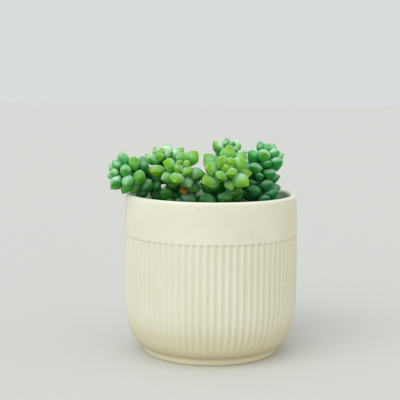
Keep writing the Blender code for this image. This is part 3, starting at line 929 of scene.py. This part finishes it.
def flesh_group():
    """Colour, bloom and relief of the plant's skin, from where a point lies on its leaf, with painted
    light on faces turned up and painted shade on undersides, heels and low leaves.
    """
    tree = bpy.data.node_groups.new("living_skin", "ShaderNodeTree")
    for name in ("Point", "Normal", "Place"):
        tree.interface.new_socket(name, in_out="INPUT", socket_type="NodeSocketVector")
    for name in ("Warmth", "Pale", "Tone", "Age", "Dry"):
        tree.interface.new_socket(name, in_out="INPUT", socket_type="NodeSocketFloat")
    tree.interface.new_socket("Colour", in_out="OUTPUT", socket_type="NodeSocketColor")
    for name in ("BloomAndTopLight", "Relief"):
        tree.interface.new_socket(name, in_out="OUTPUT", socket_type="NodeSocketFloat")
    b = Builder(tree)
    given = b.node("NodeGroupInput").outputs
    result = b.node("NodeGroupOutput").inputs
    parts = b.node("ShaderNodeSeparateXYZ")
    b.put(given["Place"], parts.inputs[0])
    upper, along = parts.outputs["X"], parts.outputs["Z"]
    slope = b.node("ShaderNodeSeparateXYZ")
    b.put(given["Normal"], slope.inputs[0])
    skyward = slope.outputs["Z"]
    patch = b.noise(given["Point"], 190, 3, 0.55)
    drift = b.noise(given["Point"], 330, 4, 0.6)

    # The flesh: lime towards the end of a warm leaf, and blue-green on an old one, with painted shade
    # on the low leaves, at each heel and on undersides.
    swing = b.math("MULTIPLY", b.math("SUBTRACT", given["Tone"], 0.5), TONE_SWING)
    warmth = b.spread(b.math("ADD", given["Warmth"], swing), 0, 1)
    cool = b.mix(given["Tone"], *FLESH_COOL)
    warm = b.mix(given["Tone"], *FLESH_WARM)
    flesh = b.mix(warmth, cool, warm)
    flesh = b.mix(b.spread(given["Age"], 0.0, 0.3, 0.6, 0), flesh, FLESH_YOUNG)
    end = b.mix(warmth, b.mix(patch, *END_COOL), b.mix(patch, *END_WARM))
    flesh = b.mix(b.spread(along, 0.4, 0.85, 0, 0.9), flesh, end)
    # old leaves' blue-green, darkened as painted shade on the low leaves under the crown
    flesh = b.mix(b.spread(given["Age"], 0.45, 1.0, 0, 0.75), flesh, FLESH_OLD_PAINTED_SHADE)
    # painted shade at the heel, where crowded leaves meet the stem
    flesh = b.mix(b.spread(along, 0.45, 0.12, 0, 0.85), flesh, HEEL_PAINTED_SHADE)
    # painted shade: a deeper, darker green multiplied in where the leaf faces down
    flesh = b.mix(b.spread(skyward, 0.15, -0.75, 0, 0.3), flesh, UNDERSIDE_PAINTED_SHADE, "MULTIPLY")

    # The bloom, rubbed off in places and at a warm leaf's end, with painted light: it lies thickest
    # where a leaf faces the sky.
    rubbed = b.spread(b.noise(given["Point"], 95, 2), 0.3, 0.62, 0.35, 1.0)
    bare_end = b.spread(warmth, 0.2, 0.9, 0.5, 0.08)
    bloom_and_top_light = b.math("MULTIPLY", b.spread(drift, 0.25, 0.75, 0.6, 1.0), rubbed)
    bloom_and_top_light = b.math("MULTIPLY", bloom_and_top_light, b.spread(along, 0.97, 0.55, bare_end, 1.0))
    bloom_and_top_light = b.math("MULTIPLY", bloom_and_top_light, b.spread(along, 0.2, 0.45))
    # painted light from above: the bloom's pale is laid on thickest where the leaf faces up
    bloom_and_top_light = b.math("MULTIPLY", bloom_and_top_light, b.spread(skyward, -0.45, 0.8, 0.04, 1.25))
    bloom_and_top_light = b.math("MULTIPLY", bloom_and_top_light, b.spread(given["Age"], 0.5, 1.0, 1.0, 0.5))
    bloom_and_top_light = b.math("MULTIPLY", bloom_and_top_light, given["Pale"])
    powder = b.mix(b.spread(given["Pale"], 0.7, 1.15), BLOOM_THIN, BLOOM_THICK)
    skin = b.mix(bloom_and_top_light, flesh, powder)

    # A painted sheen along the margins, which fades with age, and the straw of a leaf that has dried.
    margin_sheen = b.math("MULTIPLY", b.spread(upper, -0.08, 0.02), b.spread(upper, 0.32, 0.1))
    margin_sheen = b.math("MULTIPLY", margin_sheen, b.spread(along, 0.3, 0.6))
    margin_sheen = b.math("MULTIPLY", margin_sheen, b.spread(given["Age"], 0.5, 0.75, 1.0, 0.1))
    margin_sheen = b.math("MULTIPLY", margin_sheen, b.spread(given["Warmth"], 0.35, 0.8, 0.03, 0.42))
    skin = b.mix(margin_sheen, skin, MARGIN_SHEEN)
    dried = b.math("MULTIPLY", given["Dry"], b.spread(along, 0.25, 0.5))
    skin = b.mix(dried, skin, b.mix(patch, *STRAW))

    pores = b.noise(given["Point"], 1900, 2, 0.5)
    relief = b.math("ADD", b.math("MULTIPLY", drift, 0.6), b.math("MULTIPLY", pores, 0.35))
    b.put(skin, result["Colour"])
    b.put(bloom_and_top_light, result["BloomAndTopLight"])
    b.put(relief, result["Relief"])
    return tree


living_skin = flesh_group()


def skin_material(name, shoot):
    """Waxy, juicy skin: light passes a little way in, and a pale bloom dulls its gloss."""
    material, b, shader, point = new_material(name)
    skin = b.node("ShaderNodeGroup", node_tree=living_skin)
    b.put(point, skin.inputs["Point"])
    b.put(point.node.outputs["Normal"], skin.inputs["Normal"])
    b.put(b.attribute("place").outputs["Vector"], skin.inputs["Place"])
    for mark in ("Tone", "Age", "Dry"):
        b.put(b.attribute(mark.lower()).outputs["Fac"], skin.inputs[mark])
    skin.inputs["Warmth"].default_value = shoot.warmth
    skin.inputs["Pale"].default_value = shoot.pale
    b.put(skin.outputs["Colour"], shader.inputs["Base Color"])
    b.put(b.spread(skin.outputs["BloomAndTopLight"], 0, 1, 0.38, 0.6), shader.inputs["Roughness"])
    b.put(b.bump(skin.outputs["Relief"], 0.18 * MM, 0.55), shader.inputs["Normal"])
    shader.inputs["Subsurface Weight"].default_value = 0.55
    shader.inputs["Subsurface Radius"].default_value = (0.2, 1.0, 0.2)
    shader.inputs["Subsurface Scale"].default_value = 5.0 * MM
    shader.inputs["Specular IOR Level"].default_value = 0.08
    shader.inputs["Sheen Weight"].default_value = 0.04
    shader.inputs["Sheen Roughness"].default_value = 0.25
    shader.inputs["Sheen Tint"].default_value = (0.7, 1.0, 0.72, 1)
    return material


OLD = 26  # a leaf this far down has an old leaf's colour and its painted shade
WITHERED = ("front_left", 21)  # the one dry leaf
NODE_REACH = 2.5 * MM  # a finished leaf lies closer than this to the solid leaf that it finishes
STEM_PLACE = (0, 0, 0.3)  # a stem is coloured like this place on a leaf
STEM_TONE = 0.3
STEM_AGE = 0.2
TONE_SEED = 11


class Marks(NamedTuple):
    """The layers that shape a leaf's edges and tell the skin where on which leaf a point lies."""

    place: object
    tone: object
    age: object
    dry: object
    crease: object
    point: object


def marks_on(bm):
    points = bm.verts.layers
    return Marks(
        place=points.float_vector.new("place"),
        tone=points.float.new("tone"),
        age=points.float.new("age"),
        dry=points.float.new("dry"),
        crease=bm.edges.layers.float.new("crease_edge"),
        point=points.float.new("crease_vert"),
    )


def mark_leaf(verts, marks, index, tone, dry):
    for vert in verts:
        vert[marks.tone] = tone
        vert[marks.age] = min(1, index / OLD)
        vert[marks.dry] = dry


def smooth(piece):
    """Rounds the cages of its leaves."""
    surface = piece.modifiers.new("smooth_flesh", "SUBSURF")
    surface.levels = 2
    surface.render_levels = 2


def nearest_node(leaf, nodes):
    """The solid model's leaf that lies where this one does, or None."""
    trial = bmesh.new()
    add_leaf(trial, leaf.seat, leaf.crowding, leaf.distance)
    _, middle, _ = tree_of(trial)
    trial.free()
    best, found = NODE_REACH, None
    for name in nodes:
        low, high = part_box(name)
        apart = (middle - (Vector(low) + Vector(high)) / 2).length
        if apart < best:
            best, found = apart, name
    return found


def build_shoot(shoot, leaves, dice):
    """The stem with its buds and older leaves, and each loose leaf as a piece of its own."""
    nodes = [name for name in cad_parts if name.startswith(f"leaf_{shoot.name}_")]
    material = skin_material(f"skin_{shoot.name}", shoot)
    body = bmesh.new()
    marks = marks_on(body)
    for vert in add_stem(body, shoot):
        vert[marks.place] = STEM_PLACE
        vert[marks.tone] = STEM_TONE
        vert[marks.age] = STEM_AGE
    for leaf in leaves:
        tone = dice.random()
        dry = 1 if (shoot.name, leaf.index) == WITHERED else 0
        node = nearest_node(leaf, nodes) if is_loose(shoot, leaf.index) else None
        home = bmesh.new() if node else body
        layers = marks_on(home) if node else marks
        verts = add_leaf(
            home, leaf.seat, leaf.crowding, leaf.distance, swell=CAGE_SWELL, marks=layers
        )
        mark_leaf(verts, layers, leaf.index, tone, dry)
        if node:
            nodes.remove(node)
            smooth(finished_piece(home, f"plump_{node}", material, "leaf", node))
    stands_for = (f"stem_{shoot.name}", *nodes)
    smooth(finished_piece(body, f"shoot_{shoot.name}", material, "stem", *stands_for))


grown_leaves = grow_leaves()
tone_dice = random.Random(TONE_SEED)
for shoot in SHOOTS:
    build_shoot(shoot, grown_leaves[shoot.name], tone_dice)
